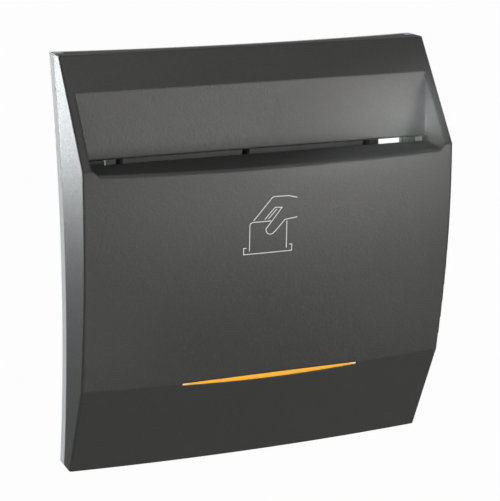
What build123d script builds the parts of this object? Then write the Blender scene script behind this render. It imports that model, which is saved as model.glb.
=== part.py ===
from build123d import *
import os
from math import asin, atan, cos, degrees, hypot, radians, sin, tan

# Hotel key card switch for a 45 mm square support frame. Millimetres.
# X is to the right, Y to the back, Z up. The origin is the centre of the
# square collar, in the plane of the base frame's four rear corners.
# "Depth" is measured from that plane towards the viewer, so y = -depth.

overrun = 4.0            # how far every cutter runs past what it cuts
fit_gap = 0.1            # gap between parts that are fixed to each other
wall = 1.5               # wall of the cover and thickness of flat mouldings

# Card, and what the cover leaves beside it
card_width = 54.0
card_side_gap = 0.3
card_rear_gap = 0.1      # from the plate's plane back to the rail
side_margin = 3.0        # from the card's edge to the cover's side
cheek = 1.3              # wall beside the card recess
cover_width = card_width + 2 * side_margin
recess_width = cover_width - 2 * cheek

# Front cover: outline seen from the side, at its left and right edges
cover_height = 65.2
top_depth = 5.1          # front edge of the top face
lip_depth = 16.25        # corner where the slanted band ends
lip_height = 17.35
crease_depth = 12.95
crease_height = -17.15
bottom_depth = 5.3       # front edge of the bottom face
front_bow = 1.15         # bow of the front between lip and crease
front_bulge = 2.4        # how much further forward it is at mid-width
bottom_bulge = 1.5
corner_round = 0.45      # outer upright edges
lip_chamfer = 0.35       # front edge of the ledge

# Rear surface: hollow both ways, so that it hugs a domed wall plate
rear_rise = 3.6          # hollow from bottom to top, at the sides
rear_sag = 2.4           # hollow from side to side
frame_thickness = 2.05   # visible strip of the base frame at the sides
frame_top_line = 0.65    # visible line of the base frame along the top

# Card plate, ledge and slot
plate_foot_rise = 0.1    # of the plate's foot above the lip
plate_foot_depth = 9.5
plate_lean = 4.25        # degrees that the card plate leans back
ledge_drop = 0.25        # of the ledge's rear edge below the lip
ledge_fall = 0.08        # share of the ledge's depth that it drops towards the front
slot_gap = 1.9
recess_corner = 0.9      # chamfer between ledge and cheeks
plate_foot_height = lip_height + plate_foot_rise
ledge_height = lip_height - ledge_drop

# Lens on the crease
lens_length = 29.1
lens_thickness = 0.86
lens_tip = 0.3           # height of its blunt ends
lens_flange_length = 31.0
lens_flange_height = 1.8
lens_flange_thickness = 0.5
lens_flange_inset = 1.0  # its rear face, behind the crease's edge
lens_flange_depth = crease_depth - lens_flange_inset

# Square collar of the base frame
collar_size = 44.8
collar_wall = 1.1
lid_depth = 4.4          # front face of the mechanism
collar_lip_thickness = 1.2
collar_rim = 0.5         # how far the front of its side walls reaches outwards
collar_lip_reach = 1.5
boss_radius = 2.1
boss_length = 3.0
screw_inset_x = 2.2      # from the collar's inner wall
screw_inset_z = 2.0

# Snap lugs of the base frame, in pockets of the cover
lug_height = 6.0
lug_thickness = 1.2
lug_depth = 9.0
lug_places = (-17.0, 14.25)
lug_inset = 0.15         # from the cover's inner wall
bead_depth = 7.7
bead_width = 0.9
bead_height = 0.45

# Mechanism lid and housing
lid_thickness = 1.5
shoulder = 2.5           # from the collar's side to the housing's
body_length = 21.0
body_chamfer = 6.0
housing_wall = 1.4
notch_width = 1.3        # of the middle notch
side_notch = 1.05        # depth of the notches in the lid's sides
notch_height = 3.2
notch_drop = 0.75        # middle of the notches, below the lip

# Card guide: two rails, a stop and two legs
card_stop_height = -10.6
rail_gap = 0.2           # to the cover's inner wall
rail_thickness = 1.0     # behind the card
rail_inner = 24.6        # from the middle to the rail's inner edge
rail_bevel = 0.85        # behind that edge
rail_step = 0.25         # from the upper snap lug to the rail beside it
stop_height = 2.2
stop_front = 0.9         # how far the stop stands in front of the plate's plane
dip_width = 12.8
dip_wall = 1.2
dip_depth = 4.8
leg_x = 17.0
leg_width = 3.6
pad_x = 16.4
pad_thickness = 1.5
pad_width = 4.6
pad_top = -4.2
hook_heights = (-11.6, -5.4)    # hooks that snap behind the lid
hook_width = 2.4
hook_height = 1.2
hook_barb = 0.5
hook_length = 0.8        # behind the lid

# Actuator: slider with a foot that the card presses
actuator_travel = 5.0
slider_width = 10.0
slider_rear = 2.4        # y of its rear face
slider_top = 8.0
slider_bottom = -11.0
stem_width = 4.0
stem_height = 2.5
foot_width = 8.0
foot_back = 9.9          # depth of the foot's rear and front
foot_front = 12.9
foot_height = 3.4
running_gap = 0.3
ear_inner = 2.8
ear_thickness = 1.0
ear_radius = 1.7
peg_radius = 0.8
peg_y = 4.6
track_width = 1.2        # ribs that guide the slider
track_lip = 1.0
track_lip_thickness = 0.9

# Return spring under the slider
spring_radius = 1.3
spring_wire = 0.36       # rectangular wire
spring_turns = 5
spring_y = -0.1
spring_end_gap = 0.05
pocket_radius = 1.8
pocket_top = -3.5
seat_radius = 0.85
seat_height = 2.5

# Rocker on its pin
pivot_y = 12.1
peg_height = 2.5         # of the peg above the pivot, at rest
pin_radius = 1.0
pin_clearance = 0.05
hub_radius = 2.2
rocker_width = 5.0
fork_reach = 8.4
fork_wall = 0.9
fork_clearance = 0.2
fork_depth = 1.6         # of the fork's gap behind the peg's middle
tail_length = 2.7
tail_thickness = 2.0
post_thickness = 1.8
post_gap = 0.3
blade_thickness = 0.5
blade_width = 3.6
blade_length = 6.0
blade_root = 0.5         # from the pin's bore to the blade
blade_seat_gap = 0.05
contact_radius = 5.0
rivet_radius = 1.3
rivet_height = 0.8
contact_gap = 0.1

# Contact strips
strip_thickness = 0.7
strip_y = 9.6
strip_low = 4.4
strip_high = 7.6
strip_leg_width = 4.0
tab_width = 3.2
tab_end = 17.0
tab_plate_x = 4.95

# Terminals: cage clamps in the four corners
terminal_x = 8.5
cage_width = 6.4
cage_length = 6.4
cage_window = 4.0
cage_front = 8.4
cage_front_wall = 1.2
cage_rear_wall = 1.4
cage_depth = 7.4
wire_radius = 1.55       # widest wire, with its insulation
wire_y = 11.95
clamp_screw_radius = 1.5
clamp_screw_tip = 13.55
clamp_screw_length = 5.6
clamp_hole_radius = 1.9

# Fixing screws
slot_width = 0.5
slot_depth = 0.6
screw_radius = 1.1       # of the two mechanism screws
screw_hole_gap = 0.1
screw_head_radius = 1.9
screw_head_height = 1.4
mechanism_screw_length = 7.0

# Clips for the support frame
clip_width = 8.0
clip_thickness = 0.6
clip_tip_y = 1.0
clip_tip_rise = 3.4
clip_bend_y = 8.0
clip_end_y = 15.0
clip_tab_width = 4.0
clip_tab_depth = 0.9

# Lamp on its board
board_half_width = 10.0
board_low = -19.4
board_high = -14.8
board_thickness = 1.0
board_gap = 0.05
lamp_width = 3.0
lamp_depth = 1.2
lamp_height = 2.0
resistor_radius = 0.7
resistor_length = 3.4
resistor_x = 6.5
lead_width = 1.0
lead_thickness = 0.6
lead_height = -15.4

# Light guide between lamp and lens
guide_rear_width = 4.4
guide_front_width = 29.6
guide_plate_thickness = 1.8
guide_straight = 0.9
guide_lamp_gap = 0.25
guide_pin_width = 1.3
guide_pin_length = 1.1
guide_pin_x = 4.0
guide_pin_depth = 10.9

# Worked out from the sizes above
half_width = cover_width / 2
half_height = cover_height / 2
inner_x = half_width - wall
plate_slope = tan(radians(plate_lean))
collar_half = collar_size / 2
collar_inner = collar_half - collar_wall
collar_mouth = collar_inner - collar_lip_reach
screw_x = collar_inner - screw_inset_x
screw_z = collar_inner - screw_inset_z
screw_places = [(-screw_x, -screw_z), (screw_x, screw_z)]
lid_half = collar_inner - fit_gap
lid_rear = lid_depth - lid_thickness
body_half = collar_half - shoulder
cavity_half = body_half - housing_wall
cavity_rear = body_length - housing_wall
cage_end = cavity_half - fit_gap
cage_start = cage_end - cage_length
cage_middle = (cage_start + cage_end) / 2
terminal_places = [(x, side) for x in (-terminal_x, terminal_x) for side in (-1, 1)]
rail_x = card_width / 2 + card_side_gap
rail_outer = inner_x - rail_gap
stop_bottom = card_stop_height - stop_height
dip_floor = card_stop_height - dip_depth
stem_top = card_stop_height + actuator_travel
slider_front = -lid_rear + running_gap
ear_outer = ear_inner + ear_thickness
peg_arm = pivot_y - peg_y
rest_angle = degrees(atan(peg_height / peg_arm))
post_x = rocker_width / 2 + post_gap
board_rear = -lid_depth - board_gap
board_front = board_rear - board_thickness


def block(x, y, z):
    """Box between two limits on each axis."""
    size = [abs(b - a) for a, b in (x, y, z)]
    middle = [(a + b) / 2 for a, b in (x, y, z)]
    return Pos(*middle) * Box(*size)


def rod(radius, start, end):
    """Round bar between two points that differ on one axis."""
    path = Vector(*end) - Vector(*start)
    plane = Plane(origin=start, z_dir=path.normalized())
    return plane * extrude(Circle(radius), path.length)


def side_prism(points, x):
    """Solid with an outline given as (depth, height), from x[0] to x[1]."""
    corners = [(x[0], -depth, height) for depth, height in points]
    face = make_face(Polyline(*corners, close=True))
    return extrude(face, amount=x[1] - x[0], dir=(1, 0, 0))


def plan_prism(points, z):
    """Solid with an outline given as (x, depth), from z[0] to z[1]."""
    corners = [(x, -depth, z[0]) for x, depth in points]
    face = make_face(Polyline(*corners, close=True))
    return extrude(face, amount=z[1] - z[0], dir=(0, 0, 1))


def both_sides(shape):
    return shape + mirror(shape, about=Plane.YZ)


def climbs(edge):
    """True for an edge that rises more than half as much as it runs."""
    tangent = edge.tangent_at(0.5)
    return abs(tangent.Z) > hypot(tangent.X, tangent.Y) / 2


def near(value, target):
    return abs(value - target) < fit_gap


def plate_depth(height):
    """Depth of the card plate's front at a height."""
    return plate_foot_depth + (plate_foot_height - height) * plate_slope


def ledge_at(depth):
    """Height of the ledge at a depth."""
    return ledge_height - (depth - plate_foot_depth - slot_gap) * ledge_fall


def offset_outline(inset):
    """Bottom, crease, lip and top corner of the cover's side, moved inwards."""
    back = -overrun
    points = [(back, -half_height), (bottom_depth, -half_height),
              (crease_depth, crease_height), (lip_depth, lip_height),
              (top_depth, half_height), (back, half_height)]
    moved = []
    for before, here, after in zip(points, points[1:], points[2:]):
        first = Vector(here[0] - before[0], here[1] - before[1]).normalized()
        second = Vector(after[0] - here[0], after[1] - here[1]).normalized()
        inward = Vector(-first.Y - second.Y, first.X + second.X)
        step = inward.normalized() * (2 * inset / inward.length)
        moved.append((here[0] + step.X, here[1] + step.Y))
    return moved


def bow_radius(half_chord, rise):
    """Radius of the arc that rises so much over a chord."""
    return half_chord ** 2 / (2 * rise) + rise / 2


def level_section(depth, bulge, height, side, back, rounding):
    """Level section of the front form, with a bowed or a straight front."""
    if bulge:
        radius = bow_radius(half_width, bulge)
        edge = depth + bulge - radius + (radius ** 2 - side ** 2) ** 0.5
        front = ThreePointArc((-side, -edge, height), (0, -depth - bulge, height),
                              (side, -edge, height))
    else:
        edge = depth
        front = Line((-side, -edge, height), (side, -edge, height))
    rest = Polyline((side, -edge, height), (side, back, height),
                    (-side, back, height), (-side, -edge, height))
    section = make_face(Wire([*front.edges(), *rest.edges()]))
    if rounding:
        section = fillet([v for v in section.vertices() if v.Y < 0], rounding)
    return section


def front_barrel(crease, lip, side, back, rounding):
    """Front between crease and lip: a bowed section turned about a far level axis."""
    middle = Vector(crease[0] + lip[0], crease[1] + lip[1]) / 2
    chord = Vector(lip[0] - crease[0], lip[1] - crease[1])
    outward = Vector(chord.Y, -chord.X).normalized()
    radius = bow_radius(chord.length / 2, front_bow)
    centre = middle - outward * (radius - front_bow)
    axis = Axis((0, -centre.X, centre.Y), (1, 0, 0))
    section = level_section(centre.X + radius, front_bulge, centre.Y, side, back, rounding)
    past = degrees(overrun / radius)
    low = degrees(asin((centre.Y - crease[1]) / radius)) + past
    high = degrees(asin((lip[1] - centre.Y) / radius)) + past
    barrel = revolve(section.rotate(axis, low), axis, -low - high)
    far = cover_width + cover_height
    return barrel & block((-far, far), (-far, far), (crease[1], lip[1]))


def cover_form(inset=0, rounding=0):
    """Solid front form without recess, inset by a wall on every side."""
    bottom, crease, lip, top = offset_outline(inset)
    side = half_width - inset
    back = 2 * overrun
    front = front_barrel(crease, lip, side, back, rounding)
    bend = front.faces().sort_by(Axis.Z)[0]
    low_band = loft([level_section(bottom[0], bottom_bulge, bottom[1], side, back, rounding), bend],
                    ruled=True)
    high_band = loft([level_section(lip[0], 0, lip[1], side, back, rounding),
                      level_section(top[0], 0, top[1], side, back, rounding)], ruled=True)
    return low_band + front + high_band


def rear_pillow(thickness):
    """What lies behind the hollow rear surface, moved forward."""
    across = bow_radius(half_width, rear_sag)
    upright = bow_radius(half_height, rear_rise)
    axis_y = upright - rear_rise - thickness
    wide = half_width + overrun
    crown = rear_rise + rear_sag + thickness
    side = crown - across + (across ** 2 - wide ** 2) ** 0.5
    far = axis_y - overrun
    front = ThreePointArc((-wide, -side), (0, -crown), (wide, -side))
    back = Polyline((wide, -side), (wide, far), (-wide, far), (-wide, -side))
    face = make_face(Wire([*front.edges(), *back.edges()]))
    turn = degrees(atan((half_height + overrun) / upright))
    axis = Axis((0, axis_y, 0), (1, 0, 0))
    return revolve(face.rotate(axis, -turn), axis, 2 * turn)


def card_recess():
    """What the recess takes away: the ledge is its floor, the card plate its back."""
    side = recess_width / 2
    far = lip_depth + front_bulge + overrun
    above = half_height + overrun
    outline = [(plate_foot_depth, ledge_at(plate_foot_depth)), (far, ledge_at(far)),
               (far, above), (plate_depth(above), above),
               (plate_foot_depth, plate_foot_height)]
    recess = side_prism(outline, (-side, side))
    corners = [e for e in recess.edges()
               if near(abs(e.center().X), side) and e.center().Z < plate_foot_height
               and not climbs(e)]
    return chamfer(corners, recess_corner)


def recess_walls():
    """Room of the recess with its ledge and card plate, and the slot left open."""
    far = lip_depth + front_bulge + overrun
    above = half_height + overrun
    slot_front = plate_foot_depth + slot_gap
    outline = [(plate_foot_depth - wall, plate_foot_height), (slot_front, plate_foot_height),
               (slot_front, ledge_at(slot_front) - wall), (far, ledge_at(far) - wall),
               (far, above), (plate_depth(above) - wall, above)]
    return side_prism(outline, (-half_width - overrun, half_width + overrun))


def lens_outline(gap):
    """Bowed slit on the crease with blunt ends, less a gap all round, cut along Y."""
    end = (lens_length - gap) / 2
    half = (lens_thickness - gap) / 2
    tip = (lens_tip - gap) / 2
    upper = ThreePointArc((-end, 0, crease_height + tip), (0, 0, crease_height + half),
                          (end, 0, crease_height + tip))
    lower = ThreePointArc((end, 0, crease_height - tip), (0, 0, crease_height - half),
                          (-end, 0, crease_height - tip))
    right = Line(upper @ 1, lower @ 0)
    left = Line(lower @ 1, upper @ 0)
    face = make_face(Wire([*upper.edges(), *right.edges(), *lower.edges(), *left.edges()]))
    return extrude(face, amount=cover_height, dir=(0, -1, 0))


def make_front_cover():
    form = cover_form(0, corner_round) - card_recess()
    lip = [e for e in form.edges()
           if e.center().Y < -lip_depth and abs(e.center().X) < half_width / 2
           and abs(e.center().Z - ledge_at(lip_depth)) < wall]
    form = chamfer(lip, lip_chamfer) - (cover_form(wall) - recess_walls())
    tongue = block((-inner_x + fit_gap, inner_x - fit_gap), (-cover_height, cover_height),
                   (half_height - wall, cover_height))
    form -= rear_pillow(frame_thickness + fit_gap) - tongue
    form -= rear_pillow(frame_top_line + fit_gap)
    reach = lug_height / 2 + fit_gap
    for place in lug_places:
        form -= both_sides(block((inner_x - fit_gap, inner_x + bead_height + fit_gap),
                                 (-bead_depth - bead_width - fit_gap, -bead_depth + fit_gap),
                                 (place - reach, place + reach)))
    return form - lens_outline(0)


def make_indicator_lens():
    lens = cover_form() & lens_outline(fit_gap / 2)
    lens -= block((-lens_length, lens_length), (-lens_flange_depth, overrun),
                  (-cover_height, cover_height))
    half = lens_flange_height / 2
    flange = block((-lens_flange_length / 2, lens_flange_length / 2),
                   (-lens_flange_depth - lens_flange_thickness, -lens_flange_depth),
                   (crease_height - half, crease_height + half))
    return lens + (flange & cover_form(wall + fit_gap / 2))


def snap_lug(place):
    """Lug at one height: a foot on the frame's side strip, a leg and its bead."""
    z = (place - lug_height / 2, place + lug_height / 2)
    outer = inner_x - lug_inset
    leg = block((outer - lug_thickness, outer), (-lug_depth, 0), z)
    foot = block((outer - lug_thickness, inner_x), (-lug_depth, 0), z)
    bead = block((outer, inner_x + bead_height - lug_inset),
                 (-bead_depth - bead_width + fit_gap, -bead_depth), z)
    return leg + (foot & rear_pillow(frame_thickness)) - rear_pillow(0) + bead


def make_rear_frame():
    outline = block((-half_width, half_width), (-cover_height, cover_height),
                    (-half_height, half_height))
    rebate = block((-inner_x, inner_x), (-cover_height, cover_height),
                   (half_height - wall - fit_gap, cover_height))
    sheet = (rear_pillow(frame_thickness) - rebate) + (rear_pillow(frame_top_line) & rebate)
    sheet = (sheet & outline) - rear_pillow(0)
    inside = (-collar_inner, collar_inner)
    mouth = (-collar_mouth, collar_mouth)
    front = -lid_depth - collar_lip_thickness
    frame = sheet - block((-inner_x, inner_x), (-cover_height, cover_height),
                          (-collar_half, collar_half))
    frame += block((-collar_half, collar_half), (front, 0), (-collar_half, collar_half))
    frame -= both_sides(block((collar_inner, collar_half + overrun),
                              (front - overrun, -lid_depth), mouth))
    frame += both_sides(block((collar_inner, collar_half + collar_rim),
                              (-lid_depth, -lid_depth + collar_lip_thickness), mouth))
    frame -= block(inside, (-lid_depth, overrun), inside)
    frame -= block(inside, (front - overrun, overrun), mouth)
    end = -lid_depth - boss_length
    for x, z in screw_places:
        frame += rod(boss_radius, (x, -lid_depth, z), (x, end, z))
        frame -= rod(screw_radius, (x, overrun, z), (x, end - overrun, z))
    for place in lug_places:
        frame += both_sides(snap_lug(place))
    return frame


def drill(x, z):
    """Cutter for a screw's hole through the lid and the housing's flange."""
    return rod(screw_radius + screw_hole_gap, (x, -lid_depth - overrun, z), (x, overrun, z))


def lead_bar(x, y, gap=0):
    """One flat lead of the lamp board, or the hole for it with a gap around."""
    wide = lead_width / 2 + gap
    high = lead_thickness / 2 + gap
    return block((x - wide, x + wide), y, (lead_height - high, lead_height + high))


def make_mechanism_lid():
    lid = block((-lid_half, lid_half), (-lid_depth, -lid_rear), (-lid_half, lid_half))
    deep = (-lid_depth - overrun, overrun)
    half = stem_width / 2 + running_gap
    lid -= block((-half, half), deep,
                 (stem_top - stem_height - actuator_travel - running_gap, stem_top + running_gap))
    middle = lip_height - notch_drop
    tall = (middle - notch_height / 2, middle + notch_height / 2)
    lid -= block((-notch_width / 2, notch_width / 2), deep, tall)
    lid -= both_sides(block((lid_half - side_notch, lid_half + overrun), deep, tall))
    for x, z in screw_places:
        lid -= drill(x, z)
    wide = hook_width / 2 + fit_gap / 2
    high = hook_height / 2 + fit_gap / 2
    for z in hook_heights:
        lid -= both_sides(block((pad_x - wide, pad_x + wide), deep, (z - high, z + high)))
    return lid - both_sides(lead_bar(terminal_x, deep, fit_gap))


def chamfered_bar(half, y, cut):
    """Square bar along Y with its four long corners cut off."""
    bar = block((-half, half), y, (-half, half))
    corners = [e for e in bar.edges()
               if near(abs(e.center().X), half) and near(abs(e.center().Z), half)]
    return chamfer(corners, cut)


def slider_track():
    """Rib with a lip that guides one side of the slider."""
    inner = slider_width / 2 + running_gap / 2
    tall = (-cavity_half - fit_gap, cavity_half + fit_gap)
    lip_front = slider_rear + running_gap
    lip_rear = lip_front + track_lip_thickness
    rib = block((inner, inner + track_width), (-lid_rear, lip_rear), tall)
    return rib + block((inner - track_lip, inner), (lip_front, lip_rear), tall)


def rocker_post():
    """Bearing post of one side, on the housing's rear wall."""
    post = block((post_x, post_x + post_thickness), (pivot_y, cavity_rear + fit_gap),
                 (-hub_radius, hub_radius))
    return post + rod(hub_radius, (post_x, pivot_y, 0), (post_x + post_thickness, pivot_y, 0))


def make_mechanism_housing():
    inner_chamfer = body_chamfer - housing_wall * (2 - 2 ** 0.5)
    housing = block((-lid_half, lid_half), (-lid_rear, 0), (-lid_half, lid_half))
    housing += chamfered_bar(body_half, (-lid_rear, body_length), body_chamfer)
    housing -= chamfered_bar(cavity_half, (-lid_rear - overrun, cavity_rear), inner_chamfer)
    for x, z in screw_places:
        housing -= drill(x, z)
    housing += both_sides(slider_track() + rocker_post())
    housing += rod(seat_radius, (0, spring_y, -cavity_half - fit_gap),
                   (0, spring_y, -cavity_half + seat_height))
    across = post_x + post_thickness + overrun
    housing -= rod(pin_radius, (-across, pivot_y, 0), (across, pivot_y, 0))
    for x, side in terminal_places:
        z = side * cage_middle
        housing -= rod(clamp_hole_radius, (x, cavity_rear - housing_wall, z),
                       (x, body_length + overrun, z))
        housing -= rod(wire_radius, (x, wire_y, side * (cavity_half - fit_gap)),
                       (x, wire_y, side * (body_half + overrun)))
    pocket = clip_tab_width / 2 + fit_gap
    pocket_y = (clip_end_y - clip_thickness - fit_gap, clip_end_y + fit_gap)
    for side in (-1, 1):
        floor = side * (body_half - clip_tab_depth - fit_gap)
        housing -= block((-pocket, pocket), pocket_y, (floor, side * (body_half + overrun)))
    return housing


def make_mechanism_screws():
    one = rod(screw_radius, (0, -mechanism_screw_length, 0), (0, 0, 0))
    one += rod(screw_head_radius, (0, 0, 0), (0, screw_head_height, 0))
    one -= block((-screw_head_radius, screw_head_radius),
                 (screw_head_height - slot_depth, screw_head_height + overrun),
                 (-slot_width / 2, slot_width / 2))
    return [Pos(x, 0, z) * one for x, z in screw_places]


def make_terminal_screws():
    end = clamp_screw_tip + clamp_screw_length
    one = rod(clamp_screw_radius, (0, clamp_screw_tip, 0), (0, end, 0))
    one -= block((-clamp_screw_radius, clamp_screw_radius), (end - slot_depth, end + overrun),
                 (-slot_width / 2, slot_width / 2))
    return [Pos(x, 0, side * cage_middle) * one for x, side in terminal_places]


def make_terminal_cages():
    cages = []
    for x, side in terminal_places:
        window = block((x - cage_window / 2, x + cage_window / 2),
                       (cage_front + cage_front_wall, cage_front + cage_depth - cage_rear_wall),
                       (side * (cage_start - overrun), side * (cage_end + overrun)))
        cage = block((x - cage_width / 2, x + cage_width / 2),
                     (cage_front, cage_front + cage_depth), (side * cage_start, side * cage_end))
        z = side * cage_middle
        cages.append(cage - window - rod(clamp_screw_radius, (x, wire_y, z), (x, body_length, z)))
    return cages


def make_support_clips():
    top = body_half + clip_thickness
    tip = body_half + clip_tip_rise
    outline = [(-clip_end_y, body_half), (-clip_bend_y, body_half),
               (-clip_tip_y, tip - clip_thickness), (-clip_tip_y, tip),
               (-clip_bend_y, top), (-clip_end_y, top)]
    clip = side_prism(outline, (-clip_width / 2, clip_width / 2))
    clip += block((-clip_tab_width / 2, clip_tab_width / 2), (clip_end_y - clip_thickness, clip_end_y),
                  (body_half - clip_tab_depth, top))
    return [clip, mirror(clip, about=Plane.XY)]


def card_strip(back, front, z, x):
    """Bar along the card's lean, between two distances from the card plate's plane."""
    low, high = z
    return side_prism([(plate_depth(low) + back, low), (plate_depth(low) + front, low),
                       (plate_depth(high) + front, high), (plate_depth(high) + back, high)], x)


def make_card_guide():
    rear = -card_rear_gap - rail_thickness
    low = (stop_bottom, max(lug_places) - lug_height / 2 - rail_step)
    tall = (stop_bottom, plate_foot_height - fit_gap)
    beside_lug = inner_x - lug_inset - lug_thickness - rail_step
    rail = card_strip(rear, -card_rear_gap, tall, (rail_inner, beside_lug))
    long_edges = [e for e in rail.edges() if near(e.center().X, rail_inner) and climbs(e)]
    rail = chamfer(max(long_edges, key=lambda edge: edge.center().Y), rail_bevel)
    rail += card_strip(rear, stop_front, low, (rail_x, rail_outer))
    rail += card_strip(rear, -card_rear_gap, low, (beside_lug - fit_gap, rail_x + fit_gap))
    guide = both_sides(rail)
    guide += card_strip(rear, stop_front, (stop_bottom, card_stop_height), (-rail_outer, rail_outer))
    half = dip_width / 2
    guide += card_strip(rear, stop_front, (dip_floor, card_stop_height), (-half, half))
    guide -= card_strip(rear - overrun, stop_front + overrun,
                        (dip_floor + dip_wall, card_stop_height + overrun),
                        (-half + dip_wall, half - dip_wall))
    leg = block((leg_x - leg_width / 2, leg_x + leg_width / 2),
                (-plate_depth(stop_bottom) - rear - fit_gap, -lid_depth),
                (stop_bottom, card_stop_height))
    leg += block((pad_x - pad_width / 2, pad_x + pad_width / 2),
                 (-lid_depth - pad_thickness, -lid_depth), (stop_bottom, pad_top))
    barb_front = -lid_rear + fit_gap / 2
    x = (pad_x - hook_width / 2, pad_x + hook_width / 2)
    for z in hook_heights:
        top = z + hook_height / 2
        leg += block(x, (-lid_depth, barb_front + hook_length), (top - hook_height, top))
        leg += block(x, (barb_front, barb_front + hook_length), (top, top + hook_barb))
    guide += both_sides(leg)
    return guide - both_sides(guide_pin(guide_pin_width + 2 * fit_gap, dip_floor + dip_wall + overrun))


def guide_pin(width, top):
    """One of the pins that locate the light guide under the card guide."""
    half = width / 2
    return block((guide_pin_x - half, guide_pin_x + half),
                 (-guide_pin_depth - half, -guide_pin_depth + half), (crease_height, top))


def make_actuator():
    half = slider_width / 2
    slider = block((-half, half), (slider_front, slider_rear), (slider_bottom, slider_top))
    slider -= rod(pocket_radius, (0, spring_y, slider_bottom - overrun), (0, spring_y, pocket_top))
    slider += block((-stem_width / 2, stem_width / 2), (-foot_back - fit_gap, slider_front + fit_gap),
                    (stem_top - stem_height, stem_top))
    slider += block((-foot_width / 2, foot_width / 2), (-foot_front, -foot_back),
                    (stem_top - foot_height, stem_top))
    ear = block((ear_inner, ear_outer), (slider_rear - fit_gap, peg_y),
                (peg_height - ear_radius, peg_height + ear_radius))
    ear += rod(ear_radius, (ear_inner, peg_y, peg_height), (ear_outer, peg_y, peg_height))
    return slider + both_sides(ear) - make_actuator_peg()


def make_actuator_peg():
    return rod(peg_radius, (-ear_outer, peg_y, peg_height), (ear_outer, peg_y, peg_height))


def make_return_spring():
    low = -cavity_half + spring_wire / 2 + spring_end_gap
    high = pocket_top - spring_wire / 2 - spring_end_gap
    path = Pos(0, spring_y, low) * Helix((high - low) / spring_turns, high - low, spring_radius)
    start = Plane(origin=path @ 0, z_dir=path % 0)
    return sweep(start * Rectangle(spring_wire, spring_wire), path, is_frenet=True)


def tilt(shape):
    """Turn a rocker part, drawn with its fork level, to its rest angle."""
    return shape.rotate(Axis((0, pivot_y, 0), (1, 0, 0)), -rest_angle)


def make_rocker():
    half = rocker_width / 2
    gap = peg_radius + fork_clearance
    past = (-half - overrun, half + overrun)
    rocker = rod(hub_radius, (-half, pivot_y, 0), (half, pivot_y, 0))
    rocker += block((-half, half), (pivot_y - fork_reach, pivot_y), (-gap - fork_wall, gap + fork_wall))
    rocker -= block(past, (pivot_y - fork_reach - overrun, peg_y + fork_depth), (-gap, gap))
    rocker += block((-half, half), (pivot_y, pivot_y + tail_length),
                    (-tail_thickness / 2, tail_thickness / 2))
    rocker -= rod(pin_radius + pin_clearance, (past[0], pivot_y, 0), (past[1], pivot_y, 0))
    return tilt(rocker - blade_block(blade_seat_gap))


def blade_block(gap):
    """The contact blade, or its seat with a gap around it."""
    start = pivot_y + pin_radius + pin_clearance + blade_root
    half = blade_thickness / 2 + gap
    return block((-blade_width / 2 - gap, blade_width / 2 + gap), (start - gap, pivot_y + blade_length),
                 (-half, half))


def make_moving_contact():
    return tilt(blade_block(0))


def make_moving_rivets():
    y = pivot_y + contact_radius
    face = blade_thickness / 2
    upper = rod(rivet_radius, (0, y, face), (0, y, face + rivet_height))
    return [tilt(upper), tilt(mirror(upper, about=Plane.XY))]


def make_rocker_pin():
    return rod(pin_radius, (-tab_plate_x - strip_thickness, pivot_y, 0), (tab_plate_x, pivot_y, 0))


def fixed_rivet_face():
    """Height of a fixed rivet's face, just clear of the moving one's corner at rest."""
    angle = radians(rest_angle)
    across = (contact_radius + rivet_radius) * sin(angle)
    return across + (blade_thickness / 2 + rivet_height) * cos(angle) + contact_gap


def contact_strip(tab_x):
    """Fixed strip: a leg over the rocker's tail, a bar and a tab into a cage."""
    y = (strip_y, strip_y + strip_thickness)
    bar = block((-strip_leg_width / 2, tab_x + tab_width / 2), y, (strip_low, strip_high))
    bar += block((tab_x - tab_width / 2, tab_x + tab_width / 2), y, (strip_low, tab_end))
    end = pivot_y + contact_radius + rivet_radius
    return bar + block((-strip_leg_width / 2, strip_leg_width / 2), (strip_y, end),
                       (strip_low, strip_low + strip_thickness))


def make_fixed_contact_open():
    return contact_strip(terminal_x)


def make_fixed_contact_rest():
    return mirror(contact_strip(terminal_x), about=Plane.XY)


def make_fixed_rivets():
    y = pivot_y + contact_radius * cos(radians(rest_angle))
    upper = rod(rivet_radius, (0, y, fixed_rivet_face()), (0, y, strip_low))
    return [upper, mirror(upper, about=Plane.XY)]


def make_common_contact():
    x = (-tab_plate_x - strip_thickness, -tab_plate_x)
    y = (strip_y, strip_y + strip_thickness)
    plate = block(x, (strip_y, pivot_y + hub_radius), (-hub_radius, strip_high))
    plate += block((-terminal_x - tab_width / 2, x[1]), y, (strip_low, strip_high))
    plate += block((-terminal_x - tab_width / 2, -terminal_x + tab_width / 2), y,
                   (strip_low, tab_end))
    return plate - rod(pin_radius, (x[0] - overrun, pivot_y, 0), (x[1] + overrun, pivot_y, 0))


def make_lamp_board():
    board = block((-board_half_width, board_half_width), (board_front, board_rear),
                  (board_low, board_high))
    return board - both_sides(lead_bar(terminal_x, (board_front - overrun, overrun)))


def make_lamp():
    return block((-lamp_width / 2, lamp_width / 2), (board_front - lamp_depth, board_front),
                 (crease_height - lamp_height / 2, crease_height + lamp_height / 2))


def make_lamp_resistor():
    y = board_front - resistor_radius
    return rod(resistor_radius, (resistor_x - resistor_length / 2, y, crease_height),
               (resistor_x + resistor_length / 2, y, crease_height))


def make_lamp_leads():
    return [lead_bar(x, (board_front, cage_front)) for x in (-terminal_x, terminal_x)]


def make_light_guide():
    rear = -board_front + lamp_depth + guide_lamp_gap
    front = lens_flange_depth - fit_gap
    half = guide_plate_thickness / 2
    wide = guide_front_width / 2
    narrow = guide_rear_width / 2
    outline = [(-narrow, rear), (narrow, rear), (wide, front - guide_straight), (wide, front),
               (-wide, front), (-wide, front - guide_straight)]
    fan = plan_prism(outline, (crease_height - half, crease_height + half))
    return fan + both_sides(guide_pin(guide_pin_width, dip_floor + guide_pin_length))


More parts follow.
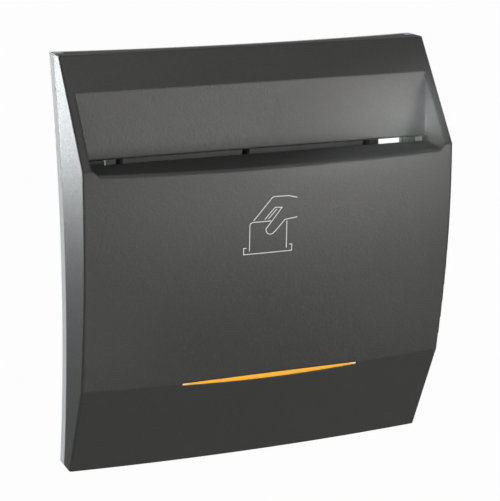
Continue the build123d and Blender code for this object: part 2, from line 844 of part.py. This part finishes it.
nodes = {
    "front_cover": make_front_cover,
    "rear_frame": make_rear_frame,
    "indicator_lens": make_indicator_lens,
    "light_guide": make_light_guide,
    "lamp_board": make_lamp_board,
    "lamp": make_lamp,
    "lamp_resistor": make_lamp_resistor,
    "lamp_leads": make_lamp_leads,
    "card_guide": make_card_guide,
    "mechanism_lid": make_mechanism_lid,
    "mechanism_housing": make_mechanism_housing,
    "mechanism_screws": make_mechanism_screws,
    "support_clips": make_support_clips,
    "actuator": make_actuator,
    "actuator_peg": make_actuator_peg,
    "return_spring": make_return_spring,
    "rocker": make_rocker,
    "rocker_pin": make_rocker_pin,
    "moving_contact": make_moving_contact,
    "moving_rivets": make_moving_rivets,
    "fixed_contact_open": make_fixed_contact_open,
    "fixed_contact_rest": make_fixed_contact_rest,
    "fixed_rivets": make_fixed_rivets,
    "common_contact": make_common_contact,
    "terminal_cages": make_terminal_cages,
    "terminal_screws": make_terminal_screws,
}

os.makedirs("parts", exist_ok=True)
for name, make in nodes.items():
    shape = make()
    if isinstance(shape, list):
        shape = Compound(children=[Part(s.wrapped) for s in shape])
    export_step(shape, f"parts/{name}.step")
    print(name, len(shape.solids()))
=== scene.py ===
from math import cos, pi, radians, sin

import bpy
from mathutils import Matrix, Vector


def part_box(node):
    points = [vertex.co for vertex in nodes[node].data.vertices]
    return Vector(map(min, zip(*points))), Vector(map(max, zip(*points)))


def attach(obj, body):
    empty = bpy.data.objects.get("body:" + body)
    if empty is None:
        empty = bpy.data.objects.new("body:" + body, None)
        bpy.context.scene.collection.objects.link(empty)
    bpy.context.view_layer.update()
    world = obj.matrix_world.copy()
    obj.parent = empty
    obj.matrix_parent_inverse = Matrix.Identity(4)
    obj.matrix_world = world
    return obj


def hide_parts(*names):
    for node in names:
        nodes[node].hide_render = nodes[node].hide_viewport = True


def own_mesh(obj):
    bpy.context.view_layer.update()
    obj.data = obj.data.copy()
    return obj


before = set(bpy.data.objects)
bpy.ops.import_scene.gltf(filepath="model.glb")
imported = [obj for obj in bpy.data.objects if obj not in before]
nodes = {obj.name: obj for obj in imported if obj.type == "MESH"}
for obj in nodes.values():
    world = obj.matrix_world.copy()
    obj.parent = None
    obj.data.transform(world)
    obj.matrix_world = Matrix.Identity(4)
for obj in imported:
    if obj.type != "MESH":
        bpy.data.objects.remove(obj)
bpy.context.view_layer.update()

# The looks of a hotel key card switch: finishes for every moulded and metal
# piece, the printed card symbol, the studio and the camera. Lengths are in
# millimetres until MM turns them into metres, and colours are linear red, green
# and blue.

MM = 0.001

# Camera
camera_aim = (-1.57, -10.0, 1.56)
camera_distance = 274.5
camera_azimuth = -21.93      # degrees
camera_elevation = 14.53
camera_roll = 0.076
camera_lens = 127.4
camera_sensor = 36.0
camera_near = 10.0
camera_far = 100000.0

# Studio
white = (1.0, 1.0, 1.0)
warm = (1.0, 0.995, 0.97)
cool = (0.96, 1.0, 1.02)
lamp_aim = (-5.0, -8.0, 5.0)
floor_height = -150.0
floor_size = 6000.0
floor_tone = (0.12, 0.12, 0.12)
floor_speckle = 40.0         # size of its faint clouds
floor_own_light = 0.98       # share of the floor's look that is plain white
gloss_share = 0.2            # share of the white background that gloss shows
room_tone = (0.8, 0.8, 0.8)
room_rise = (0.25, 0.6)      # heights of view between which the room gets lighter
room_levels = (0.04, 0.37)   # its brightness below and above them

# Finishes
noise_reach = (0.3, 0.7)     # between these lies most of a noise
edge_samples = 6             # rays that look for an edge to round
lens_reach = 14.5            # from the lens's middle to the tips of its visible face
lens_tip_highlight = 1.3              # length of its tips, painted paler than the middle as a highlight

# Sockets of a Mix node for colours
mix_first = 6
mix_second = 7
mix_result = 2

# Printed card symbol on the front, as (x, z) on the cover
symbol_line = 0.12           # width of its lines
symbol_film = 0.02           # height of the ink, and as much below the surface
symbol_step = 0.5            # about the way from one point of a line to the next
symbol_corner = 0.6          # keeps the points of sharp corners short
symbol_away = -30.0          # y of a place in front of the cover


class Value:
    """A socket that can stand in a sum; each sum adds its Math node."""

    def __init__(self, shading, socket):
        self.shading = shading
        self.socket = socket

    def math(self, operation, *values):
        """Result of a Math node on values."""
        return self.shading.node("ShaderNodeMath", {"operation": operation},
                                 dict(enumerate(values)))

    def __add__(self, other):
        return self.math("ADD", self, other)

    def __radd__(self, other):
        return self.math("ADD", other, self)

    def __mul__(self, other):
        return self.math("MULTIPLY", self, other)

    def __rmul__(self, other):
        return self.math("MULTIPLY", other, self)

    def __abs__(self):
        return self.math("ABSOLUTE", self)


class Shading:
    """The nodes of a material or of the world."""

    def __init__(self, owner, output):
        owner.use_nodes = True
        self.tree = owner.node_tree
        self.tree.nodes.clear()
        self.output = self.node(output, output=None)

    def node(self, kind, settings=None, sockets=None, output=0):
        """Any node: its settings first, then its sockets; returns one output."""
        made = self.tree.nodes.new(kind)
        for name, value in (settings or {}).items():
            if name == "stops":
                set_stops(made.color_ramp, value)
            else:
                setattr(made, name, value)
        for name, value in (sockets or {}).items():
            self.fill(made.inputs[name], value)
        return made if output is None else Value(self, made.outputs[output])

    def fill(self, socket, value):
        """Give a socket a constant or a link."""
        if isinstance(value, Value):
            self.tree.links.new(value.socket, socket)
        elif socket.type == "RGBA":
            socket.default_value = (*value, 1)
        else:
            socket.default_value = value

    def show(self, shader):
        """Make a shader the one that is seen."""
        self.fill(self.output.inputs["Surface"], shader)

    def mixed(self, share, first, second):
        """Shader that goes from first to second with a share."""
        return self.node("ShaderNodeMixShader", {}, {0: share, 1: first, 2: second})

    def span(self, value, low, high, new_low=0.0, new_high=1.0):
        """A value's range turned into another, and held inside it."""
        return self.node("ShaderNodeMapRange", {},
                         {"Value": value, "From Min": low, "From Max": high,
                          "To Min": new_low, "To Max": new_high})

    def white_share(self):
        """How much of the white background a ray sees."""
        camera = self.node("ShaderNodeLightPath", output="Is Camera Ray")
        clear = self.node("ShaderNodeLightPath", output="Is Transmission Ray")
        gloss = self.node("ShaderNodeLightPath", output="Is Glossy Ray")
        return camera + clear + gloss * gloss_share


class Finish(Shading):
    """A material with one Principled shader."""

    def __init__(self, name, **constants):
        self.material = bpy.data.materials.new(name)
        super().__init__(self.material, "ShaderNodeOutputMaterial")
        self.shader = self.node("ShaderNodeBsdfPrincipled")
        self.show(self.shader)
        for socket, value in constants.items():
            self.set(socket.replace("_", " "), value)
        self.place = self.node("ShaderNodeTexCoord", output="Object")

    def set(self, socket, value):
        """Give a socket of the shader a constant or a link."""
        self.fill(self.shader.socket.node.inputs[socket], value)

    def along_x(self):
        """Place along the piece's X."""
        return self.node("ShaderNodeSeparateXYZ", {}, {0: self.place}, "X")

    def stretched(self, scale):
        """The place on the piece, stretched on each axis."""
        return self.node("ShaderNodeVectorMath", {"operation": "MULTIPLY"},
                         {0: self.place, 1: scale})

    def noise(self, size, detail=2.0, place=None, roughness=0.5):
        """Smooth noise from 0 to 1 with features of a size in millimetres."""
        return self.node("ShaderNodeTexNoise", {},
                         {"Vector": place or self.place, "Scale": 1 / (size * MM),
                          "Detail": detail, "Roughness": roughness})

    def cells(self, size, output):
        """Cells of a size in millimetres: their colour, or the distance in each."""
        return self.node("ShaderNodeTexVoronoi", {},
                         {"Vector": self.place, "Scale": 1 / (size * MM)}, output)

    def bands(self, axis, scale, distortion):
        """Wavy bands across one axis."""
        return self.node("ShaderNodeTexWave", {"bands_direction": axis},
                         {"Vector": self.place, "Scale": scale, "Distortion": distortion})

    def red(self, colour):
        """One channel of a colour, as a mask."""
        return self.node("ShaderNodeSeparateColor", {}, {0: colour})

    def between(self, mask, first, second):
        """Colour that goes from first to second with a mask."""
        return self.node("ShaderNodeMix", {"data_type": "RGBA"},
                         {"Factor": mask, mix_first: first, mix_second: second},
                         mix_result)

    def mottled(self, mask, tone, dark, light):
        """A tone that varies with a mask between two shares of itself."""
        return self.between(mask, scaled(tone, dark), scaled(tone, light))

    def sheen(self, mask, smooth, rough, reach=noise_reach):
        """Roughness that follows a mask."""
        self.set("Roughness", self.span(mask, *reach, smooth, rough))

    def bump(self, height, depth, strength, edge=0.0):
        """Relief of a depth in millimetres, and edges that look rounded by a radius."""
        sockets = {"Height": height, "Distance": depth * MM, "Strength": strength}
        if edge:
            sockets["Normal"] = self.node("ShaderNodeBevel", {"samples": edge_samples},
                                          {"Radius": edge * MM})
        self.set("Normal", self.node("ShaderNodeBump", {}, sockets))


def set_stops(ramp, stops):
    """Give a colour ramp its (position, colour) stops, with sharp edges."""
    ramp.interpolation = "CONSTANT"
    while len(ramp.elements) < len(stops):
        ramp.elements.new(1.0)
    for element, (position, colour) in zip(ramp.elements, stops):
        element.position = position
        element.color = (*colour, 1)


def scaled(colour, factor):
    """A colour made lighter or darker."""
    return tuple(channel * factor for channel in colour)


def graphite_finish():
    """Moulded graphite plastic with fine metallic flakes in it."""
    finish = Finish("graphite_flake", Specular_IOR_Level=0.5)
    tone = (0.041, 0.041, 0.0401)
    flake_tone = (0.16, 0.165, 0.165)
    flake_share = 0.08
    flake_metal = 0.06
    plain_metal = 0.15
    flake = finish.red(finish.cells(size=0.28, output="Color"))
    bright = finish.span(flake, low=0.6, high=1.0)
    cloud = finish.noise(size=9.0, detail=3.0)
    base = finish.mottled(cloud, tone, dark=0.95, light=1.05)
    finish.set("Base Color", finish.between(bright * flake_share, base, flake_tone))
    finish.set("Metallic", plain_metal + bright * flake_metal)
    finish.sheen(flake, smooth=0.34, rough=0.43, reach=(0.0, 1.0))
    grain = finish.noise(size=0.4) + finish.noise(size=0.18, detail=1.0) * 0.5
    finish.bump(grain, depth=0.022, strength=0.9, edge=0.5)
    return finish.material


def frame_finish():
    """Light grey satin plastic of the base frame."""
    finish = Finish("light_grey_satin", Specular_IOR_Level=0.15)
    tone = (0.74, 0.76, 0.77)
    cloud = finish.noise(size=6.0, detail=3.0)
    finish.set("Base Color", finish.mottled(cloud, tone, dark=0.95, light=1.04))
    finish.sheen(finish.noise(size=1.2), smooth=0.58, rough=0.68)
    finish.bump(finish.noise(size=0.3, detail=3.0), depth=0.008, strength=0.6)
    return finish.material


def lens_finish():
    """Amber translucent plastic with a painted glow, as if lit a little from behind, and a
    painted highlight that makes its tips paler.
    """
    finish = Finish("amber_lens", Specular_IOR_Level=0.5, Emission_Strength=0.27,
                    Coat_Weight=0.3, Coat_Roughness=0.08)
    amber = (0.93, 0.44, 0.035)
    # Painted highlight: the tips turn to this paler tone, in colour and in the glow
    pale = (1.0, 0.72, 0.42)
    tip_highlight = finish.span(abs(finish.along_x()), (lens_reach - lens_tip_highlight) * MM, lens_reach * MM)
    cloud = finish.noise(size=1.5)
    colour = finish.between(tip_highlight, finish.mottled(cloud, amber, dark=0.93, light=1.0), pale)
    finish.set("Base Color", colour)
    # Painted glow: the lens's colour shines as emission, standing in for the lamp behind it
    finish.set("Emission Color", colour)
    finish.sheen(cloud, smooth=0.22, rough=0.34)
    finish.bump(finish.noise(size=0.4, detail=1.0), depth=0.004, strength=0.4)
    return finish.material


def clear_finish():
    """Clear polished plastic of the light guide."""
    finish = Finish("clear_guide", Transmission_Weight=0.85, IOR=1.58)
    haze = finish.noise(size=2.0)
    finish.set("Base Color", finish.between(haze, (0.82, 0.86, 0.87), (0.93, 0.95, 0.95)))
    finish.sheen(haze, smooth=0.05, rough=0.16)
    finish.bump(finish.noise(size=0.8), depth=0.01, strength=0.4)
    return finish.material


def moulded_finish(name, tone, smooth, rough, grain=0.22, relief=0.02):
    """Matt moulded plastic with an eroded grain and slight flow marks."""
    finish = Finish(name, Specular_IOR_Level=0.45)
    flow = finish.noise(size=5.0, detail=3.0, place=finish.stretched((1.0, 0.35, 1.0)))
    speck = finish.span(finish.noise(size=0.5), low=0.62, high=0.8, new_high=0.35)
    speck_tone = scaled(tone, 1.5)
    base = finish.mottled(flow, tone, dark=0.88, light=1.1)
    finish.set("Base Color", finish.between(speck, base, speck_tone))
    finish.sheen(flow, smooth, rough)
    pits = finish.cells(size=grain * 1.6, output="Distance")
    finish.bump(finish.noise(size=grain, detail=3.0) + pits * 0.4, relief, strength=0.7)
    return finish.material


def plated_finish(name, tone, bloom, smooth, rough):
    """Bright plated metal with a fine crystalline bloom."""
    finish = Finish(name, Metallic=1.0)
    crystals = finish.red(finish.cells(size=bloom, output="Color"))
    cloud = finish.noise(size=3.0, detail=3.0)
    stain = finish.span(cloud, low=0.55, high=0.75, new_high=0.4)
    stain_tone = scaled(tone, 0.6)
    base = finish.mottled(crystals, tone, dark=0.82, light=1.1)
    finish.set("Base Color", finish.between(stain, base, stain_tone))
    finish.sheen(cloud, smooth, rough)
    finish.bump(finish.noise(size=0.15), depth=0.004, strength=0.5)
    return finish.material


def rolled_finish(name, tone, stretch, smooth, rough):
    """Rolled metal strip with fine lines along one axis."""
    finish = Finish(name, Metallic=1.0)
    lines = finish.noise(size=0.25, detail=3.0, place=finish.stretched(stretch), roughness=0.7)
    stain = finish.span(finish.noise(size=4.0, detail=3.0), low=0.5, high=0.8, new_high=0.45)
    stain_tone = scaled(tone, 0.55)
    base = finish.mottled(lines, tone, dark=0.8, light=1.12)
    finish.set("Base Color", finish.between(stain, base, stain_tone))
    finish.sheen(lines, smooth, rough, reach=(0.25, 0.75))
    finish.bump(lines, depth=0.006, strength=0.6)
    return finish.material


def board_finish():
    """Green lacquered glass-fibre board with its weave under the lacquer."""
    finish = Finish("board_lacquer", Coat_Weight=0.4, Coat_Roughness=0.15)
    warp, weft = (finish.red(finish.bands(axis, scale=400.0, distortion=0.4)) for axis in "XZ")
    cloth = warp * 0.5 + weft * 0.5
    finish.set("Base Color", finish.between(cloth, (0.018, 0.11, 0.045), (0.04, 0.2, 0.08)))
    finish.sheen(cloth, smooth=0.3, rough=0.42, reach=(0.0, 1.0))
    finish.bump(cloth, depth=0.02, strength=0.5)
    return finish.material


def lamp_finish():
    """White lamp chip with a pale yellow face."""
    finish = Finish("lamp_chip", Emission_Strength=0.2)
    cloud = finish.noise(size=0.6)
    finish.set("Base Color", finish.between(cloud, (0.88, 0.78, 0.42), (0.92, 0.87, 0.7)))
    finish.set("Emission Color", finish.between(cloud, (1.0, 0.62, 0.2), (1.0, 0.75, 0.35)))
    finish.sheen(cloud, smooth=0.3, rough=0.45)
    finish.bump(cloud, depth=0.01, strength=0.4)
    return finish.material


def resistor_finish():
    """Beige lacquer with colour rings along X."""
    finish = Finish("resistor_lacquer")
    beige = (0.66, 0.5, 0.3)
    brown = (0.35, 0.1, 0.03)
    black = (0.02, 0.02, 0.02)
    red = (0.5, 0.04, 0.02)
    gold = (0.55, 0.38, 0.08)
    half_ring = 0.05
    stops = [(0.0, beige)]
    for middle, colour in ((0.2, brown), (0.4, black), (0.6, red), (0.82, gold)):
        stops += [(middle - half_ring, colour), (middle + half_ring, beige)]
    low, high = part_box("lamp_resistor")
    share = finish.span(finish.along_x(), low.x, high.x)
    finish.set("Base Color", finish.node("ShaderNodeValToRGB", {"stops": stops}, {0: share}))
    cloud = finish.noise(size=0.8)
    finish.sheen(cloud, smooth=0.25, rough=0.4)
    finish.bump(cloud, depth=0.02, strength=0.4)
    return finish.material


def ink_finish():
    """Light grey printing ink of the card symbol."""
    finish = Finish("light_grey_ink", Specular_IOR_Level=0.3)
    grain = finish.noise(size=0.12)
    finish.set("Base Color", finish.between(grain, (0.7, 0.71, 0.71), (0.84, 0.85, 0.85)))
    finish.sheen(grain, smooth=0.5, rough=0.65)
    finish.bump(grain, depth=0.004, strength=0.5)
    return finish.material


def dress():
    """Give every CAD node its finish."""
    zinc = plated_finish("zinc_plate", (0.62, 0.63, 0.65), bloom=0.35, smooth=0.24, rough=0.38)
    silver = plated_finish("silver_contact", (0.83, 0.82, 0.79), bloom=0.3,
                           smooth=0.16, rough=0.28)
    spring = rolled_finish("spring_steel", (0.44, 0.45, 0.47), stretch=(0.12, 1.0, 1.0),
                           smooth=0.2, rough=0.34)
    brass = rolled_finish("brass_strip", (0.78, 0.56, 0.26), stretch=(1.0, 1.0, 0.12),
                          smooth=0.2, rough=0.34)
    tin = rolled_finish("tinned_copper", (0.72, 0.71, 0.68), stretch=(1.0, 0.12, 1.0),
                        smooth=0.24, rough=0.36)
    lid = moulded_finish("mechanism_grey", (0.76, 0.77, 0.77), smooth=0.44, rough=0.56)
    housing = moulded_finish("housing_grey", (0.17, 0.178, 0.185), smooth=0.48, rough=0.6)
    guide = moulded_finish("guide_dark", (0.05, 0.052, 0.055), smooth=0.4, rough=0.52)
    acetal = moulded_finish("acetal_white", (0.78, 0.78, 0.74), smooth=0.34, rough=0.44,
                            grain=0.4, relief=0.006)
    finishes = {
        "front_cover": graphite_finish(),
        "rear_frame": frame_finish(),
        "indicator_lens": lens_finish(),
        "light_guide": clear_finish(),
        "lamp_board": board_finish(),
        "lamp": lamp_finish(),
        "lamp_resistor": resistor_finish(),
        "lamp_leads": tin,
        "card_guide": guide,
        "mechanism_lid": lid,
        "mechanism_housing": housing,
        "mechanism_screws": zinc,
        "support_clips": spring,
        "actuator": acetal,
        "actuator_peg": zinc,
        "return_spring": spring,
        "rocker": acetal,
        "rocker_pin": zinc,
        "moving_contact": brass,
        "moving_rivets": silver,
        "fixed_contact_open": brass,
        "fixed_contact_rest": brass,
        "fixed_rivets": silver,
        "common_contact": brass,
        "terminal_cages": zinc,
        "terminal_screws": zinc,
    }
    for name, material in finishes.items():
        materials = nodes[name].data.materials
        materials.clear()
        materials.append(material)


def add_object(name, data):
    """New object in the scene."""
    added = bpy.data.objects.new(name, data)
    bpy.context.scene.collection.objects.link(added)
    return added


def arc(centre, radius, start, end, count=6):
    """Points on an arc in the symbol's plane, between two angles in degrees."""
    angles = [radians(start + (end - start) * step / count) for step in range(count + 1)]
    return [(centre[0] + radius * cos(angle), centre[1] + radius * sin(angle))
            for angle in angles]


def symbol_lines():
    """Card held by two fingers over a slot, as open lines of (x, z)."""
    card_left = [(-5.05, 3.76), (-5.05, 7.8), (-4.93, 8.08), (-4.65, 8.22), (-1.66, 8.24)]
    card_right = [(0.9, 8.05), (0.9, 3.84)]
    tray = [(-5.54, 4.29), (-5.97, 4.29), (-5.97, 3.32), (1.8, 3.32), (1.8, 4.33), (1.37, 4.33)]
    hand = [(2.54, 11.52), (1.16, 11.9), (-1.28, 11.92), (-1.56, 11.74), (-4.47, 8.46)]
    thumb = [(2.6, 8.5), (0.57, 8.26), (-1.0, 6.55)]
    thumb += arc(centre=(-1.72, 6.92), radius=0.75, start=-30, end=-190)
    thumb += [(0.09, 10.2), (-1.06, 10.25), (-2.68, 8.54)]
    finger = [(-0.74, 9.99), (-2.11, 8.57)]
    return [card_left, card_right, tray, hand, thumb, finger]


def on_cover(x, z, lift):
    """Point on the cover's front at (x, z), lifted towards the viewer."""
    start = Vector((x, symbol_away, z)) * MM
    _, place, normal, _ = nodes["front_cover"].ray_cast(start, Vector((0, 1, 0)))
    return place + normal * (lift * MM)


def stroke(points):
    """Corner points (left, right) of one line of even width, closely spaced."""
    spots = []
    for index, here in enumerate(points):
        here = Vector(here)
        before = Vector(points[max(index - 1, 0)])
        after = Vector(points[min(index + 1, len(points) - 1)])
        into = (here - before).normalized()
        out = (after - here).normalized()
        into = into if into.length else out
        out = out if out.length else into
        # Two unit lengths add up here, so a straight line gets half its width a side
        side = Vector((-into.y - out.y, into.x + out.x))
        side = side.normalized() * (symbol_line / max(side.length, symbol_corner))
        spots.append((here + side, here - side))
    rows = [spots[0]]
    for (left, right), (next_left, next_right) in zip(spots, spots[1:]):
        count = max(1, round((next_left - left).length / symbol_step))
        for step in range(1, count + 1):
            share = step / count
            rows.append((left.lerp(next_left, share), right.lerp(next_right, share)))
    return rows


def make_symbol():
    """Thin closed strips of ink on the cover."""
    vertices = []
    faces = []
    corners = 4                  # of a strip's section
    for line in symbol_lines():
        rows = stroke(line)
        base = len(vertices)
        for left, right in rows:
            vertices += [on_cover(*left, symbol_film), on_cover(*right, symbol_film),
                         on_cover(*right, -symbol_film), on_cover(*left, -symbol_film)]
        last = base + corners * (len(rows) - 1)
        for here in range(base, last, corners):
            beyond = here + corners
            for corner in range(corners):
                following = (corner + 1) % corners
                faces.append((here + corner, here + following,
                              beyond + following, beyond + corner))
        faces.append(tuple(base + corner for corner in reversed(range(corners))))
        faces.append(tuple(last + corner for corner in range(corners)))
    mesh = bpy.data.meshes.new("card_symbol")
    mesh.from_pydata(vertices, [], faces)
    mesh.validate()
    mesh.materials.append(ink_finish())
    symbol = add_object("card_symbol", mesh)
    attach(symbol, "base")


def make_spring():
    """A copy of the return spring's coil with a mesh of its own, on the base, in place of the
    hidden CAD node. The real coil shortens as the slider comes down on it.
    """
    coil = add_object("spring_coil", nodes["return_spring"].data.copy())
    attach(coil, "base")
    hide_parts("return_spring")
    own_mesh(coil)


def panel(name, centre, size, level, tint=white, aim=lamp_aim, spread=180):
    """Soft rectangular lamp that the camera doesn't see; level is how bright its face is."""
    width, height = Vector(size) * MM
    light = bpy.data.lights.new(name, "AREA")
    light.shape = "RECTANGLE"
    light.size = width
    light.size_y = height
    light.energy = level * pi * width * height
    light.color = tint
    light.spread = radians(spread)
    lamp = add_object(name, light)
    lamp.location = Vector(centre) * MM
    lamp.rotation_euler = (Vector(aim) - Vector(centre)).to_track_quat("-Z", "Y").to_euler()
    lamp.visible_camera = False


def make_lamps():
    """Soft panels around the front, one behind the left side and one for the recess."""
    panel("front_right_panel", (300, -430, 0), (280, 280), level=5.2, tint=warm)
    panel("front_panel", (60, -480, -90), (220, 220), level=3.0, tint=warm)
    panel("front_left_panel", (-450, -250, 40), (200, 260), level=2.15)
    panel("left_fill_panel", (-250, -340, -80), (200, 140), level=3.3)
    panel("rear_left_panel", (-130, 270, 26), (170, 150), level=7.2, tint=cool)
    panel("top_panel", (-40, -200, 400), (260, 260), level=0.8)
    panel("low_edge_panel", (-170, -110, -138), (80, 50), level=2.0)
    panel("low_left_panel", (-60, -170, -138), (110, 40), level=2.0, tint=warm)
    panel("low_right_panel", (170, -170, -138), (120, 40), level=1.5, tint=warm)
    panel("recess_lamp", (-80, -60, 28), (8, 8), level=12.0, tint=cool,
          aim=(28, -10, 21), spread=8)


def make_floor():
    """Pale floor that shows white to the camera, through clear plastic and partly to gloss."""
    half = floor_size / 2 * MM
    height = floor_height * MM
    mesh = bpy.data.meshes.new("studio_floor")
    mesh.from_pydata([(-half, -half, height), (half, -half, height),
                      (half, half, height), (-half, half, height)], [], [(0, 1, 2, 3)])
    finish = Finish("pale_floor", Roughness=0.9, Specular_IOR_Level=0.1)
    speckle = finish.noise(size=floor_speckle, detail=3.0)
    finish.set("Base Color", finish.mottled(speckle, floor_tone, dark=0.99, light=1.0))
    glow = finish.node("ShaderNodeEmission", {}, {"Color": white, "Strength": 1.0})
    finish.show(finish.mixed(finish.white_share() * floor_own_light, finish.shader, glow))
    mesh.materials.append(finish.material)
    floor = add_object("studio_floor", mesh)


def make_world():
    """White behind the object, in a room that is dimmer low down."""
    world = bpy.data.worlds.new("plain_room")
    bpy.context.scene.world = world
    room = Shading(world, "ShaderNodeOutputWorld")
    view = room.node("ShaderNodeTexCoord", output="Generated")
    height = room.node("ShaderNodeSeparateXYZ", {}, {0: view}, "Z")
    level = room.span(height, *room_rise, *room_levels)
    dim = room.node("ShaderNodeBackground", {}, {"Color": room_tone, "Strength": level})
    bright = room.node("ShaderNodeBackground", {}, {"Color": white, "Strength": 1.0})
    room.show(room.mixed(room.white_share(), dim, bright))


def make_camera():
    """Camera at the photograph's angle."""
    azimuth = radians(camera_azimuth)
    elevation = radians(camera_elevation)
    back = Vector((sin(azimuth) * cos(elevation), -cos(azimuth) * cos(elevation),
                   sin(elevation)))
    data = bpy.data.cameras.new("photo_camera")
    data.lens = camera_lens
    data.sensor_width = camera_sensor
    data.clip_start = camera_near * MM
    data.clip_end = camera_far * MM
    camera = add_object("photo_camera", data)
    camera.rotation_mode = "QUATERNION"
    camera.location = (Vector(camera_aim) + back * camera_distance) * MM
    level = (-back).to_track_quat("-Z", "Y")
    roll = Matrix.Rotation(radians(camera_roll), 3, back).to_quaternion()
    camera.rotation_quaternion = roll @ level
    bpy.context.scene.camera = camera


dress()
make_symbol()
make_spring()
make_lamps()
make_floor()
make_world()
make_camera()
bpy.context.scene.view_settings.view_transform = "Standard"
